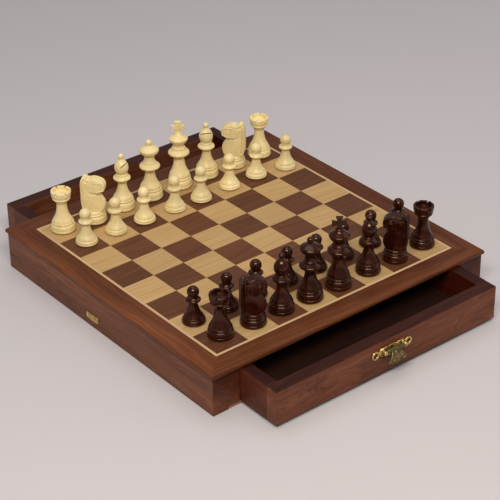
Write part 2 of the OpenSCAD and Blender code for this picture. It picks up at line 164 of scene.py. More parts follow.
def object_coordinates(tree):
    """Frame coordinates in mm."""
    place = add(tree, "TexCoord").outputs["Object"]
    return scaled(tree, place, 1 / MM, 1 / MM, 1 / MM)


# --- materials ---


def faces_tinted(tree, colour, everywhere=None, tops=None, ends=None, inner=None):
    """Paints shade into a wood by ramps up the height of the box: everywhere, on the faces that look up, on
    those that look along Y, and on those that look at the middle of the box. On the walls' ends the ramp also
    holds the end grain's own darkness."""
    normal = add(tree, "NewGeometry").outputs["True Normal"]
    side, along, upward = add(tree, "SeparateXYZ", {0: normal}).outputs
    across, _, height = add(tree, "SeparateXYZ", {0: object_coordinates(tree)}).outputs
    inward = times(tree, side, remap(tree, across, -1, 1, 1, -1))
    level = remap(tree, height, 0, BOX_H)
    if everywhere:
        colour = tinted(tree, colour, level, everywhere)
    for facing, tint in ((upward, tops), (math_node(tree, "ABSOLUTE", along, 0), ends), (inward, inner)):
        if tint:
            turned_to = remap(tree, facing, 0.6, 0.8)
            colour = blend_colours(tree, turned_to, colour, tinted(tree, colour, level, tint))
    return colour


def wood(name, stops, figure=1.0, streak=9.0, fibre=0.3, pore=0.25, tone=0.25,
         rough=(0.38, 0.52), coat=0.08, tints=None, cad_node=False):
    """Sawn, lacquered wood. Its grain runs along the first part of the mesh's grain attribute, or along X on
    a CAD node, which has no grain of its own. stops is the colour from dark to light, streak the width of its
    bands in mm, figure how far they wander, fibre and pore how strong the fine lines and the dark dashes are,
    tone how far boards differ."""
    mat, tree, shader = material(name)
    if cad_node:
        grain = object_coordinates(tree)
        board = noise(tree, grain, 0.001, 0.0)
    else:
        grain, board = own_wood(tree)
    wander = noise(tree, scaled(tree, grain, 0.010, 0.05, 0.05), 1.0, 2.0)
    shift = add(tree, "CombineXYZ", {1: remap(tree, wander, 0, 1, -12 * figure, 12 * figure)})
    bent = add(tree, "VectorMath", {0: grain, 1: shift.outputs[0]}).outputs[0]
    bands = noise(tree, scaled(tree, bent, 0.028 / streak, 0.55 / streak, 0.55 / streak), 1.6, 5.0, 0.62)
    rings = add(tree, "TexWave", {"Vector": scaled(tree, bent, 0.003, 0.16, 0.16), "Scale": 0.9,
                                  "Distortion": 5.0, "Detail": 3.0, "Detail Scale": 0.9},
                wave_type="BANDS", bands_direction="DIAGONAL").outputs["Fac"]
    fibres = noise(tree, scaled(tree, grain, 0.035, 1.0, 1.0), 2.4, 4.0, 0.6)
    dashes = noise(tree, scaled(tree, grain, 0.16, 2.2, 2.2), 1.5, 1.0)
    figure_value = math_node(tree, "ADD", times(tree, remap(tree, bands, 0.28, 0.72), 0.78),
                             times(tree, rings, 0.22))
    colour = ramp(tree, figure_value, stops)
    dark, light = 1 - 0.32 * fibre, 1 + 0.16 * fibre
    colour = tinted(tree, colour, fibres, [(0.32, (dark,) * 3), (0.72, (light,) * 3)])
    pores = remap(tree, dashes, 0.66, 0.74)
    colour = blend_colours(tree, times(tree, pores, pore), colour, [c * 0.35 for c in stops[0][1]])
    colour = brightened(tree, colour, remap(tree, board, 0, 1, 1 - tone, 1 + tone))
    # painted shade by height and by the way each face looks, and on the walls' ends the end grain's own
    # darkness
    if tints:
        colour = faces_tinted(tree, colour, **tints)
    uneven = noise(tree, scaled(tree, grain, 0.02, 0.06, 0.06), 1.0, 3.0)
    sheen = math_node(tree, "ADD", remap(tree, uneven, 0.3, 0.7, *rough), times(tree, pores, 0.15))
    height = math_node(tree, "SUBTRACT", times(tree, fibres, 0.5), pores)
    plug(tree, shader, {"Base Color": colour, "Roughness": sheen, "Normal": bump(tree, height, 0.25, 0.00012),
                        "Specular IOR Level": 0.18, "Coat Weight": coat, "Coat Roughness": 0.25})
    return mat


def turned_wood(name, stops, vein, rough, shine, relief, tint=(1, 1, 1), coat=0.0, glow=0.0):
    """Close-grained wood, turned and polished, with faint growth lines up the man. vein is how strong they
    are, relief how deep, shine and tint the strength and colour of the polish, glow the light inside."""
    mat, tree, shader = material(name)
    grain, board = own_wood(tree)
    clouds = noise(tree, scaled(tree, grain, 0.02, 0.09, 0.09), 1.0, 3.0)
    lines = noise(tree, scaled(tree, grain, 0.022, 0.9, 0.32), 1.0, 4.0, 0.65, 0.4)
    fleck = noise(tree, scaled(tree, grain, 0.25, 2.4, 2.4), 1.0, 2.0)
    mixed = math_node(tree, "ADD", times(tree, clouds, 1 - vein), times(tree, lines, vein))
    colour = ramp(tree, remap(tree, mixed, 0.3, 0.7), stops)
    colour = tinted(tree, colour, fleck, [(0.3, (0.9,) * 3), (0.7, (1.05,) * 3)])
    colour = brightened(tree, colour, remap(tree, board, 0, 1, 0.9, 1.08))
    height = math_node(tree, "ADD", times(tree, lines, 0.6), fleck)
    plug(tree, shader, {"Base Color": colour, "Roughness": remap(tree, clouds, 0.3, 0.7, *rough),
                        "Normal": bump(tree, height, relief, 0.0001),
                        "Specular IOR Level": shine, "Specular Tint": (*tint, 1),
                        "Coat Weight": coat, "Coat Roughness": 0.2})
    if glow:
        plug(tree, shader, {"Subsurface Weight": glow, "Subsurface Radius": (1.0, 0.6, 0.25),
                            "Subsurface Scale": 0.0012})
    return mat


def metal(name, stops, rough, relief):
    """Cast or turned metal with a cloudy tarnish and fine scratches."""
    mat, tree, shader = material(name)
    place = object_coordinates(tree)
    tarnish = noise(tree, place, 0.35, 4.0, 0.6)
    grit = noise(tree, place, 3.2, 3.0)
    scratch = noise(tree, scaled(tree, place, 0.5, 6.0, 6.0), 1.0, 2.0)
    worn = remap(tree, tarnish, 0.3, 0.7, rough[1], rough[0])
    height = math_node(tree, "ADD", grit, scratch)
    plug(tree, shader, {"Base Color": ramp(tree, remap(tree, tarnish, 0.3, 0.7), stops), "Metallic": 1.0,
                        "Roughness": math_node(tree, "ADD", worn, times(tree, scratch, 0.08)),
                        "Normal": bump(tree, height, relief, 0.00012)})
    return mat


def felt_cloth(name, dark, light):
    """Short, matted felt."""
    mat, tree, shader = material(name)
    place = object_coordinates(tree)
    tufts = noise(tree, place, 1.6, 5.0, 0.7)
    hairs = noise(tree, scaled(tree, place, 5.0, 5.0, 9.0), 1.0, 2.0)
    plug(tree, shader, {"Base Color": ramp(tree, tufts, [(0.35, dark), (0.65, light)]), "Sheen Weight": 0.35,
                        "Roughness": remap(tree, hairs, 0.3, 0.7, 0.85, 1.0),
                        "Normal": bump(tree, math_node(tree, "ADD", tufts, hairs), 0.6, 0.0002)})
    return mat


def floor_cloth(name, front, back):
    """A pale, almost plain studio floor, which goes from one colour at the front to a darker one at the back:
    painted shade, as less light falls at the back.
    """
    mat, tree, shader = material(name)
    place = add(tree, "TexCoord").outputs["Object"]
    distance = remap(tree, add(tree, "SeparateXYZ", {0: place}).outputs[1], -0.4, 1.2)
    mottling = remap(tree, noise(tree, place, 2.2, 3.0), 0.3, 0.7, -0.06, 0.06)
    painted_falloff_and_mottling = math_node(tree, "ADD", distance, mottling)
    weave = noise(tree, place, 300.0, 2.0)
    plug(tree, shader, {"Base Color": ramp(tree, painted_falloff_and_mottling, [(0.0, front), (1.0, back)]), "Roughness": 0.85,
                        "Normal": bump(tree, weave, 0.1, 0.0004), "Specular IOR Level": 0.1})
    return mat


# colours of the ramps from dark to light, in linear light
WALNUT = [(0, (0.0527, 0.0126, 0.00311)), (0.35, (0.102, 0.0268, 0.00729)), (0.7, (0.155, 0.0446, 0.013)),
          (1, (0.236, 0.0755, 0.0246))]
SIDE = [(0, (0.0648, 0.0194, 0.00721)), (0.35, (0.131, 0.0414, 0.0163)), (0.7, (0.192, 0.064, 0.0262)),
        (1, (0.283, 0.101, 0.0443))]
DRAWER = [(0, (0.0561, 0.0149, 0.00543)), (0.4, (0.131, 0.0371, 0.0141)), (0.75, (0.186, 0.0576, 0.0234)),
          (1, (0.313, 0.104, 0.0444))]
# painted shade: the drawer front's colours, dimmed and warmer, for the drawer sides in the corner by the
# walls
SHADED_FLANK = [(0, (0.0443, 0.00907, 0.00294)), (0.4, (0.0915, 0.02, 0.00677)), (0.75, (0.13, 0.0311, 0.0112)),
         (1, (0.195, 0.0498, 0.0189))]
DARK_TILE = [(0, (0.0785, 0.0258, 0.00923)), (0.4, (0.111, 0.0377, 0.0142)), (0.75, (0.14, 0.0488, 0.0192)),
             (1, (0.169, 0.0626, 0.0263))]
LIGHT_TILE = [(0, (0.414, 0.245, 0.0929)), (0.4, (0.485, 0.298, 0.119)), (0.75, (0.529, 0.332, 0.139)),
              (1, (0.578, 0.376, 0.167))]
LINE = [(0, (0.462, 0.275, 0.126)), (0.5, (0.583, 0.374, 0.189)), (1, (0.682, 0.451, 0.242))]
# near black, for the back and floor of the drawers
NEAR_BLACK_INSIDE = [(0, (0.00936, 0.00264, 0.0015)), (0.4, (0.0187, 0.00594, 0.0033)), (1, (0.0324, 0.0112, 0.0063))]
CARCASS = [(0, (0.2, 0.1, 0.05)), (0.5, (0.32, 0.18, 0.09)), (1, (0.42, 0.25, 0.14))]
BOXWOOD = [(0, (0.76, 0.56, 0.23)), (0.45, (0.89, 0.7, 0.33)), (1, (0.95, 0.8, 0.43))]
ROSEWOOD = [(0, (0.008, 0.001, 0.0004)), (0.5, (0.02, 0.0024, 0.0008)), (1, (0.06, 0.009, 0.0026))]
BRASS = [(0, (0.3, 0.19, 0.055)), (0.5, (0.62, 0.43, 0.15)), (1, (0.83, 0.64, 0.29))]
# a darker brass, for the hanging shells
DARKER_BRASS = [(0, (0.09, 0.065, 0.022)), (0.5, (0.2, 0.145, 0.055)), (1, (0.36, 0.27, 0.12))]
STEEL = [(0, (0.3, 0.29, 0.28)), (1, (0.62, 0.61, 0.6))]

# painted shade up the height of the box, from 0 at the table to 1 at the playing field; on the walls' ends it
# also holds the end grain's own darkness
PLAIN = (1.0, 1.0, 1.0)
# painted shade: the walls darker at the table and just under the border's lip
SHADE_UNDER_LIP_AND_AT_FOOT = [(0.0, (0.8,) * 3), (0.05, PLAIN), (BORDER_Z / BOX_H - 0.10, PLAIN),
             (BORDER_Z / BOX_H, (0.5,) * 3)]
# painted shadow: the foot of each drawer front darker and bluer, over the gap under the drawer
SHADOW_AT_FRONT_FOOT = [(0.04, (0.6, 0.7, 0.9)), (0.12, PLAIN)]
# painted shade on the top faces of the drawer boards
SHADE_ON_TOPS = [(end, (0.27, 0.19, 0.19)) for end in (0, 1)]
# painted shade on the faces of the drawer sides that look into the drawer
SHADE_ON_INNER_FACES = [(end, (0.6, 0.35, 0.3)) for end in (0, 1)]
# the end grain's own darkness, plus painted shade that deepens towards the top under the border
END_GRAIN_AND_SHADE = [(0.1, (0.92, 0.84, 0.8)), (0.5, (0.52, 0.40, 0.36)), (0.95, (0.28, 0.16, 0.11))]

border_mat = wood("border_walnut", WALNUT, streak=12.0, tone=0.08)
side_mat = wood("side_walnut", SIDE, streak=15.0, figure=1.5, tone=0.08,
                tints={"everywhere": SHADE_UNDER_LIP_AND_AT_FOOT, "ends": END_GRAIN_AND_SHADE})
drawer_mat = wood("drawer_walnut", DRAWER, streak=12.0, figure=2.2, tone=0.08,
                  tints={"everywhere": SHADOW_AT_FRONT_FOOT, "tops": SHADE_ON_TOPS})
drawer_side_mat = wood("drawer_side_walnut", SHADED_FLANK, streak=12.0, figure=3.0, tone=0.08,
                       tints={"tops": SHADE_ON_TOPS, "inner": SHADE_ON_INNER_FACES})
inside_mat = wood("drawer_inside", NEAR_BLACK_INSIDE, streak=9.0, tone=0.1, rough=(0.5, 0.65), coat=0.0)
dark_tile_mat = wood("dark_squares_wood", DARK_TILE, figure=0.7, streak=5.0, pore=0.3, tone=0.12)
light_tile_mat = wood("light_squares_wood", LIGHT_TILE, figure=0.5, streak=4.0, fibre=0.16, pore=0.06,
                      tone=0.04)
line_mat = wood("inlay_line_wood", LINE, figure=0.3, streak=4.0, fibre=0.2, pore=0.1, tone=0.05)
carcass_mat = wood("carcass_wood", CARCASS, rough=(0.55, 0.7), coat=0.0, cad_node=True)
boxwood_mat = turned_wood("boxwood_turned", BOXWOOD, vein=0.45, rough=(0.28, 0.40), shine=0.4, relief=0.10,
                          coat=0.15, glow=0.12)
rosewood_mat = turned_wood("dark_wood_turned", ROSEWOOD, vein=0.6, rough=(0.18, 0.21), shine=0.55,
                           relief=0.012, tint=(1, 0.64, 0.44))
brass_mat = metal("brass_cast", BRASS, (0.22, 0.42), 0.25)
darker_brass_mat = metal("brass_darker", DARKER_BRASS, (0.30, 0.50), 0.3)
steel_mat = metal("steel_screw", STEEL, (0.25, 0.40), 0.15)
felt_mat = felt_cloth("felt_dark", (0.010, 0.009, 0.008), (0.035, 0.030, 0.026))

# --- mesh helpers: a solid is (vertices in mm, faces, grain, tone) ---

ORDER = {"x": (0, 1, 2), "y": (1, 0, 2), "z": (2, 0, 1)}


def with_grain(points, faces, along, seed, slant=0.0):
    """Gives a solid its own piece of wood: a place in the tree and a tone."""
    draw = np.random.default_rng(seed)
    grain = np.array(points, float)[:, ORDER[along]]
    grain[:, 1] += slant * grain[:, 0]
    grain = grain + draw.uniform(-900, 900, 3)
    return np.array(points, float), [tuple(f) for f in faces], grain, np.full(len(points), draw.uniform(0, 1))


def merged(solids):
    """Several solids as one."""
    faces, start = [], 0
    for points, own_faces, _, _ in solids:
        faces += [tuple(k + start for k in face) for face in own_faces]
        start += len(points)
    points, _, grain, tone = zip(*solids)
    return np.vstack(points), faces, np.vstack(grain), np.concatenate(tone)


def outward_mesh(name, points, faces):
    """A mesh whose faces all look outward."""
    mesh = bpy.data.meshes.new(name)
    mesh.from_pydata(points, [], faces)
    bm = bmesh.new()
    bm.from_mesh(mesh)
    bmesh.ops.recalc_face_normals(bm, faces=bm.faces)
    bm.to_mesh(mesh)
    bm.free()
    return mesh


def in_scene(name, data):
    """A new object of the scene."""
    obj = bpy.data.objects.new(name, data)
    scene.collection.objects.link(obj)
    return obj


def piece(name, solids, mat, body, nodes=(), sharp=40.0, flat=False):
    """Makes one object of the solids, riding on a body, and hides the CAD nodes that it stands for.
    Edges sharper than sharp degrees stay sharp, and flat keeps wide faces flat to the light."""
    points, faces, grain, tone = merged(solids)
    mesh = outward_mesh(name, (points * MM).tolist(), faces)
    own_place = mesh.attributes.new("grain", "FLOAT_VECTOR", "POINT")
    own_place.data.foreach_set("vector", grain.astype(np.float32).ravel())
    own_tone = mesh.attributes.new("tone", "FLOAT", "POINT")
    own_tone.data.foreach_set("value", tone.astype(np.float32))
    mesh.materials.append(mat)
    for face in mesh.polygons:
        face.use_smooth = True
    mesh.set_sharp_from_angle(angle=math.radians(sharp))
    obj = in_scene(name, mesh)
    if flat:
        obj.modifiers.new("flat_faces", "WEIGHTED_NORMAL").keep_sharp = True
    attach(obj, body)
    if nodes:
        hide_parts(*nodes)


def loft_faces(rows, n):
    """Faces of a solid whose points are rows of n points each, with a cap on the first and the last row."""
    faces = []
    for row in range(rows - 1):
        for k in range(n):
            m = (k + 1) % n
            faces.append((row * n + k, row * n + m, (row + 1) * n + m, (row + 1) * n + k))
    return faces + [tuple(range(n)), tuple(range(rows * n - 1, (rows - 1) * n - 1, -1))]


def rounded_box(lo, hi, radius, segments=3):
    """Vertices and faces of a box with rounded edges."""
    bm = bmesh.new()
    bmesh.ops.create_cube(bm, size=1)
    size, middle = Vector(hi) - Vector(lo), (Vector(hi) + Vector(lo)) / 2
    for v in bm.verts:
        v.co = middle + Vector((v.co.x * size.x, v.co.y * size.y, v.co.z * size.z))
    bmesh.ops.bevel(bm, geom=list(bm.edges), offset=radius, offset_type="OFFSET", segments=segments,
                    profile=0.5, affect="EDGES")
    bm.verts.index_update()
    points = [tuple(v.co) for v in bm.verts]
    faces = [[v.index for v in f.verts] for f in bm.faces]
    bm.free()
    return points, faces


def lathe(profile, segments=72):
    """A closed surface from a profile of (radius, height) points that starts and ends on the axis."""
    ring = np.linspace(0, 2 * math.pi, segments, endpoint=False)
    inner = profile[1:-1]
    points = [(0, 0, profile[0][1])]
    for r, z in inner:
        points += [(r * math.cos(a), r * math.sin(a), z) for a in ring]
    points.append((0, 0, profile[-1][1]))
    last, faces = len(points) - 1, []
    for k in range(segments):
        n = (k + 1) % segments
        faces.append((0, 1 + n, 1 + k))
        for row in range(len(inner) - 1):
            a, b = 1 + row * segments, 1 + (row + 1) * segments
            faces.append((a + k, a + n, b + n, b + k))
        top = 1 + (len(inner) - 1) * segments
        faces.append((top + k, top + n, last))
    return np.array(points), faces


def cos_sin(degrees):
    """Cosine and sine of an angle in degrees."""
    return math.cos(math.radians(degrees)), math.sin(math.radians(degrees))


def moved(points, place=(0, 0, 0), turn=0.0):
    """Points turned about Z by degrees and then moved."""
    c, s = cos_sin(turn)
    x, y, z = np.array(points, float).T
    return np.column_stack([x * c - y * s, x * s + y * c, z]) + np.array(place)


def arc(cx, cz, r, start, end, n):
    """Points of an arc, angles in degrees."""
    angles = np.radians(np.linspace(start, end, n + 1))
    return [(cx + r * math.cos(a), cz + r * math.sin(a)) for a in angles]


def curve(a, b, c, d, n):
    """Points of a cubic curve with control points a, b, c, d."""
    t = np.linspace(0, 1, n + 1)[:, None]
    a, b, c, d = (np.array(p, float) for p in (a, b, c, d))
    made = (1 - t) ** 3 * a + 3 * t * (1 - t) ** 2 * b + 3 * t ** 2 * (1 - t) * c + t ** 3 * d
    return [tuple(p) for p in made]


def filleted(points, radius, steps=3):
    """The outline with each sharp corner rounded a little. The first and the last point stay."""
    made = [points[0]]
    for before, here, after in zip(points, points[1:], points[2:]):
        b, h, a = Vector(before), Vector(here), Vector(after)
        back, on = b - h, a - h
        if back.length < 1e-6 or on.length < 1e-6:
            continue
        if back.angle(on) > math.radians(152) or here[0] < 1e-6:
            made.append(here)
            continue
        reach = min(radius, back.length * 0.45, on.length * 0.45)
        p, q = h + back.normalized() * reach, h + on.normalized() * reach
        for k in range(steps + 1):
            t = k / steps
            made.append(tuple(p * (1 - t) ** 2 + h * 2 * t * (1 - t) + q * t ** 2))
    return made + [points[-1]]


# --- fields of distance, for carved and cast shapes ---


def outline_distance(x, z, outline):
    """Signed distance to a closed outline in the plane, negative inside."""
    best = np.full(x.shape, 1e9)
    inside = np.zeros(x.shape, bool)
    for (x0, z0), (x1, z1) in zip(outline, outline[1:] + outline[:1]):
        ex, ez = x1 - x0, z1 - z0
        t = np.clip(((x - x0) * ex + (z - z0) * ez) / max(ex * ex + ez * ez, 1e-12), 0, 1)
        best = np.minimum(best, (x - x0 - t * ex) ** 2 + (z - z0 - t * ez) ** 2)
        crosses = (z0 > z) != (z1 > z)
        with np.errstate(divide="ignore", invalid="ignore"):
            left = x < x0 + (z - z0) * ex / (ez if ez else 1e-12)
        inside ^= crosses & left
    return np.where(inside, -1, 1) * np.sqrt(best)


def smooth_max(a, b, k):
    """The larger of two fields with a rounded seam of size k."""
    h = np.clip(0.5 + 0.5 * (a - b) / k, 0, 1)
    return b + (a - b) * h + k * h * (1 - h)


def smooth_min(a, b, k):
    """The smaller of two fields with a rounded seam of size k."""
    return -smooth_max(-a, -b, k)


def rod_field(x, y, z, a, b, ra, rb):
    """Distance to a rod with round ends from a to b, its radius going from ra to rb."""
    a, b = np.array(a, float), np.array(b, float)
    e = b - a
    t = np.clip(((x - a[0]) * e[0] + (y - a[1]) * e[1] + (z - a[2]) * e[2]) / (e @ e), 0, 1)
    d = np.sqrt((x - a[0] - t * e[0]) ** 2 + (y - a[1] - t * e[1]) ** 2 + (z - a[2] - t * e[2]) ** 2)
    return d - (ra + (rb - ra) * t)


def grid(lo, hi, step):
    """Three arrays of the coordinates of a box of cells."""
    axes = [np.arange(a, b + step, step) for a, b in zip(lo, hi)]
    return np.meshgrid(*axes, indexing="ij")


def skin(field, lo, step, smoothing=2):
    """The closed surface where a field is zero, as vertices and faces."""
    volume = openvdb.FloatGrid(3 * step)
    volume.copyFromArray(np.clip(field, -3 * step, 3 * step).astype(np.float32))
    points, quads = volume.convertToQuads()
    bm = bmesh.new()
    verts = [bm.verts.new(p) for p in points * step + np.array(lo)]
    for quad in quads:
        bm.faces.new([verts[k] for k in quad])
    for _ in range(smoothing):
        bmesh.ops.smooth_vert(bm, verts=bm.verts, factor=0.5, use_axis_x=True, use_axis_y=True,
                              use_axis_z=True)
    bm.verts.index_update()
    made = [tuple(v.co) for v in bm.verts], [[v.index for v in f.verts] for f in bm.faces]
    bm.free()
    return made


# --- the board ---


def make_squares():
    """64 squares of veneer, each cut from its own piece, with a hair of a chamfer."""
    for parity, colour, mat in ((0, "dark", dark_tile_mat), (1, "light", light_tile_mat)):
        tiles = []
        for i in range(8):
            for j in range(8):
                if (i + j) % 2 != parity:
                    continue
                lo = ((i - 4) * SQUARE, (j - 4) * SQUARE, TILE_Z)
                hi = (lo[0] + SQUARE, lo[1] + SQUARE, BOX_H)
                slant = 0.10 * math.sin(5 * i + 3 * j)
                tiles.append(with_grain(*rounded_box(lo, hi, 0.07, 1), "x", 100 + 8 * i + j, slant))
        slot, node = f"{colour}_veneer", f"{colour}_squares"
        piece(f"squares_{colour}", tiles, mat, "box", [node], flat=True)


def mitred_rail(section, seed, side, slant=0.0):
    """A rail along one side of a square, with 45 degree ends. section is (distance from middle, height)."""
    ends = [(end * d, -d, z) for end in (-1, 1) for d, z in section]
    points, faces, grain, tone = with_grain(ends, loft_faces(2, len(section)), "x", seed, slant)
    return moved(points, turn=90 * side), faces, grain, tone


def make_border():
    """Four mitred rails with a rounded arris, and the light line inside them."""
    upper, lower, inner = 2.7, 0.9, INNER_HALF + HAIR
    section = [(inner, BORDER_Z), (inner, BOX_H - 0.06), (inner + 0.06, BOX_H)]
    section += arc(BOARD_HALF - upper, BOX_H - upper, upper, 90, 0, 12)
    section += arc(BOARD_HALF - lower, BORDER_Z + lower, lower, 0, -90, 5)
    for name, node, rails in (("border_front_back", "border_long", ((11, 0, 0.015), (12, 2, -0.02))),
                              ("border_left_right", "border_side", ((23, 1, 0.02), (14, 3, 0.01)))):
        solids = [mitred_rail(section, *rail) for rail in rails]
        piece(name, solids, border_mat, "box", [node], flat=True)
    line = [(FIELD_HALF, TILE_Z), (FIELD_HALF, BOX_H - HAIR), (FIELD_HALF + HAIR, BOX_H),
            (INNER_HALF - HAIR, BOX_H), (INNER_HALF, BOX_H - HAIR), (INNER_HALF, TILE_Z)]
    piece("inlay_line", [mitred_rail(line, 31 + side, side) for side in range(4)],
          line_mat, "box", ["stringing"], flat=True)


def make_box():
    """The two side walls, rebated for the bottom panel. The panels between them stay the CAD's own."""
    _, panel_hi = cad("bottom_panel")
    rebate_x, rebate_z = panel_hi[0] + 0.2, panel_hi[2]
    arris, inset = 0.7, 0.5
    outline = [(BAY_HALF, rebate_z), (rebate_x, rebate_z), (rebate_x, 0.0)]
    outline += arc(BOX_HALF - arris, arris, arris, -90, 0, 3) + [(BOX_HALF, BORDER_Z), (BAY_HALF, BORDER_Z)]
    ends = ((-BOX_HALF, inset), (-BOX_HALF + inset, 0), (BOX_HALF - inset, 0), (BOX_HALF, inset))
    for name, sign, seed, node in (("wall_left", -1, 41, "side_left"), ("wall_right", 1, 42, "side_right")):
        points = [(sign * min(max(x, BAY_HALF + shrink), BOX_HALF - shrink), y, max(z, shrink))
                  for y, shrink in ends for x, z in outline]
        wall = with_grain(points, loft_faces(len(ends), len(outline)), "y", seed, 0.02)
        piece(name, [wall], side_mat, "box", [node], flat=True)
    for node in ("top_panel", "bottom_panel", "divider"):
        dress(node, carcass_mat)
    dress("panel_screws", steel_mat)


def dress(node, mat):
    """A CAD node that stays as it is, with a better material."""
    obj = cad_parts[node]
    obj.data.materials.clear()
    obj.data.materials.append(mat)


# --- drawers ---


def make_drawer(prefix, label, body, seed, outward):
    """One drawer: front, sides, back and floor as boards with eased edges. outward is -1 or 1 along Y."""
    for part, radius, mat in (("front", 0.9, drawer_mat), ("back", 0.5, inside_mat),
                              ("floor", 0.3, inside_mat)):
        lo, hi = cad(f"{prefix}_{part}")
        board = with_grain(*rounded_box(lo, hi, radius), "x", seed + len(part), 0.05 * outward)
        piece(f"{label}_{part}", [board], mat, body, [f"{prefix}_{part}"], flat=True)
    lo, hi = cad(f"{prefix}_sides")
    inner_half = cad(f"{prefix}_back")[1][0]
    boards = []
    for sign in (-1, 1):
        near, far = sorted((sign * hi[0], sign * inner_half))
        side = rounded_box((near, lo[1], lo[2]), (far, hi[1], hi[2]), 0.6)
        boards.append(with_grain(*side, "y", seed + 20 + sign, 0.03 * sign))
    piece(f"{label}_sides", boards, drawer_side_mat, body, [f"{prefix}_sides"], flat=True)


# --- pulls ---

PULL_STEP = 0.2
POST_X, RING_X, RING_Z, PIN_X = 11.0, 18.0, -1.8, 4.4   # across and up from the hinge's middle
HINGE_Z, HINGE_OUT, HINGE_R = 26.4, 4.4, 1.0            # height in the frame, and off the wood
SHELL_LEN, SHELL_R, SHELL_OUT, SHELL_Z = 12.5, 8.85, -5.4, -7.0   # its drop, its bend and the bend's middle
FAN_Z = 4.2                                             # where the flutes would meet


def bow_outline():
    """Outline of the bow-shaped plate, seen from the front: two arms with a round lobe between them."""
    reach, n, half_arm = 15.2, 40, 1.3
    xs = [reach * (2 * k / n - 1) for k in range(n + 1)]
    arm = [-2.2 + 3.6 * math.cos(math.radians(5 * x)) ** 2 for x in xs]
    lobe = [-2.6 - 5 * math.sqrt(1 - (x / 6.05) ** 2) if abs(x) < 6 else a - half_arm
            for x, a in zip(xs, arm)]
    return [(x, a + half_arm) for x, a in zip(xs, arm)] + list(zip(xs, lobe))[::-1]


def pull_plate_field(x, out, z):
    """The casting behind the shell: bow plate, rings, curled horns and hinge posts. out is off the wood."""
    flat = outline_distance(x[:, 0, :], z[:, 0, :], bow_outline())[:, None, :]
    field = smooth_max(np.broadcast_to(flat, x.shape), np.abs(out - 0.55) - 0.6, 0.5)
    ax = np.abs(x)
    rib = np.abs(flat + 1.0) - 0.35
    field = smooth_min(field, smooth_max(np.broadcast_to(rib, x.shape), np.abs(out - 1.1) - 0.35, 0.4), 0.4)
    ring = np.hypot(np.hypot(ax - RING_X, z - RING_Z) - 3.05, out - 0.85) - 1.0
    field = smooth_min(field, ring, 0.5)
    curl = [((12.6, 1.2, -0.4), 1.1), ((10.2, 1.5, 2.2), 1), ((7.0, 1.4, 2.6), 0.75), ((5.0, 1.2, 1.6), 0.6)]
    rods = [rod_field(ax, out, z, a, b, ra, rb) for (a, ra), (b, rb) in zip(curl, curl[1:])]
    horn = smooth_min(smooth_min(rods[0], rods[1], 0.5), rods[2], 0.5)
    field = smooth_min(field, horn, 0.4)
    leaf = rod_field(ax, out, z, (13.4, 1.0, -1.6), (10.6, 1.0, -5.0), 1.2, 0.7)
    field = smooth_min(field, leaf, 0.6)
    across = np.hypot(ax - POST_X, z)
    collar = smooth_max(across - 2.9, np.abs(out - 0.7) - 0.7, 0.5)
    post = smooth_max(across - 2.1, np.abs(out - 3.3) - 3.3, 0.9)
    field = smooth_min(field, smooth_min(collar, post, 0.6), 0.3)
    hole = np.hypot(out - HINGE_OUT, z) - (HINGE_R + 0.12)
    field = smooth_max(field, -np.maximum(hole, ax - POST_X - 1.2), 0.2)
    return np.maximum(field, -out)


def shell_field(x, out, z):
    """The hanging, fluted shell with its hinge barrel, pins and heel; out and z are from the hinge axis."""
    away = np.hypot(out - SHELL_OUT, z - SHELL_Z)
    drop = np.maximum(FAN_Z - z, 1.0)
    lean = np.degrees(np.arctan2(x, drop))
    flute = np.cos(np.radians(lean * 9.0))
    outer = away - (SHELL_R + 0.62 + 0.45 * flute)
    inner = (SHELL_R - 0.75 + 0.3 * flute) - away
    wall = smooth_max(outer, inner, 0.3)
    reach = np.hypot(x, z - FAN_Z)
    rim = reach - (SHELL_LEN + FAN_Z - 0.1 + 0.5 * np.abs(np.sin(np.radians(lean * 4.5))))
    fan = smooth_max(rim, (np.abs(lean) - 40.0) * 0.017 * drop, 0.5)
    wall = smooth_max(wall, np.maximum(fan, z - 0.6), 0.5)
    bead = np.hypot(reach - SHELL_LEN - 3.0, away - SHELL_R - 0.85) - 0.38
    bead = smooth_max(bead, (np.abs(lean) - 37.0) * 0.25, 0.3)
    wall = smooth_min(wall, np.maximum(bead, -(out + 1.5)), 0.3)
    barrel = smooth_max(np.hypot(out, z) - 1.75, np.abs(x) - (POST_X - 2.6), 0.3)
    pins = smooth_max(np.hypot(out, z) - HINGE_R, np.abs(x) - (POST_X + 0.9), 0.2)
    heel = np.maximum(np.maximum(np.abs(x) - 2.2, np.abs(z + 1.5) - 0.85), np.abs(out + 1.5) - 1.5)
    shell = np.maximum(wall, -(out + 2.4))
    return smooth_min(smooth_min(shell, barrel, 0.4), np.minimum(pins, heel), 0.1)


def pull_points(points, face_y, outward, off=0.0):
    """From (across, out, up) at the pull to the frame. outward is -1 at the front and 1 at the back, and off
    is how far off the wood the points' own origin is."""
    across, out, up = np.array(points, float).T
    return np.column_stack([-outward * across, face_y + outward * (out + off), HINGE_Z + up])


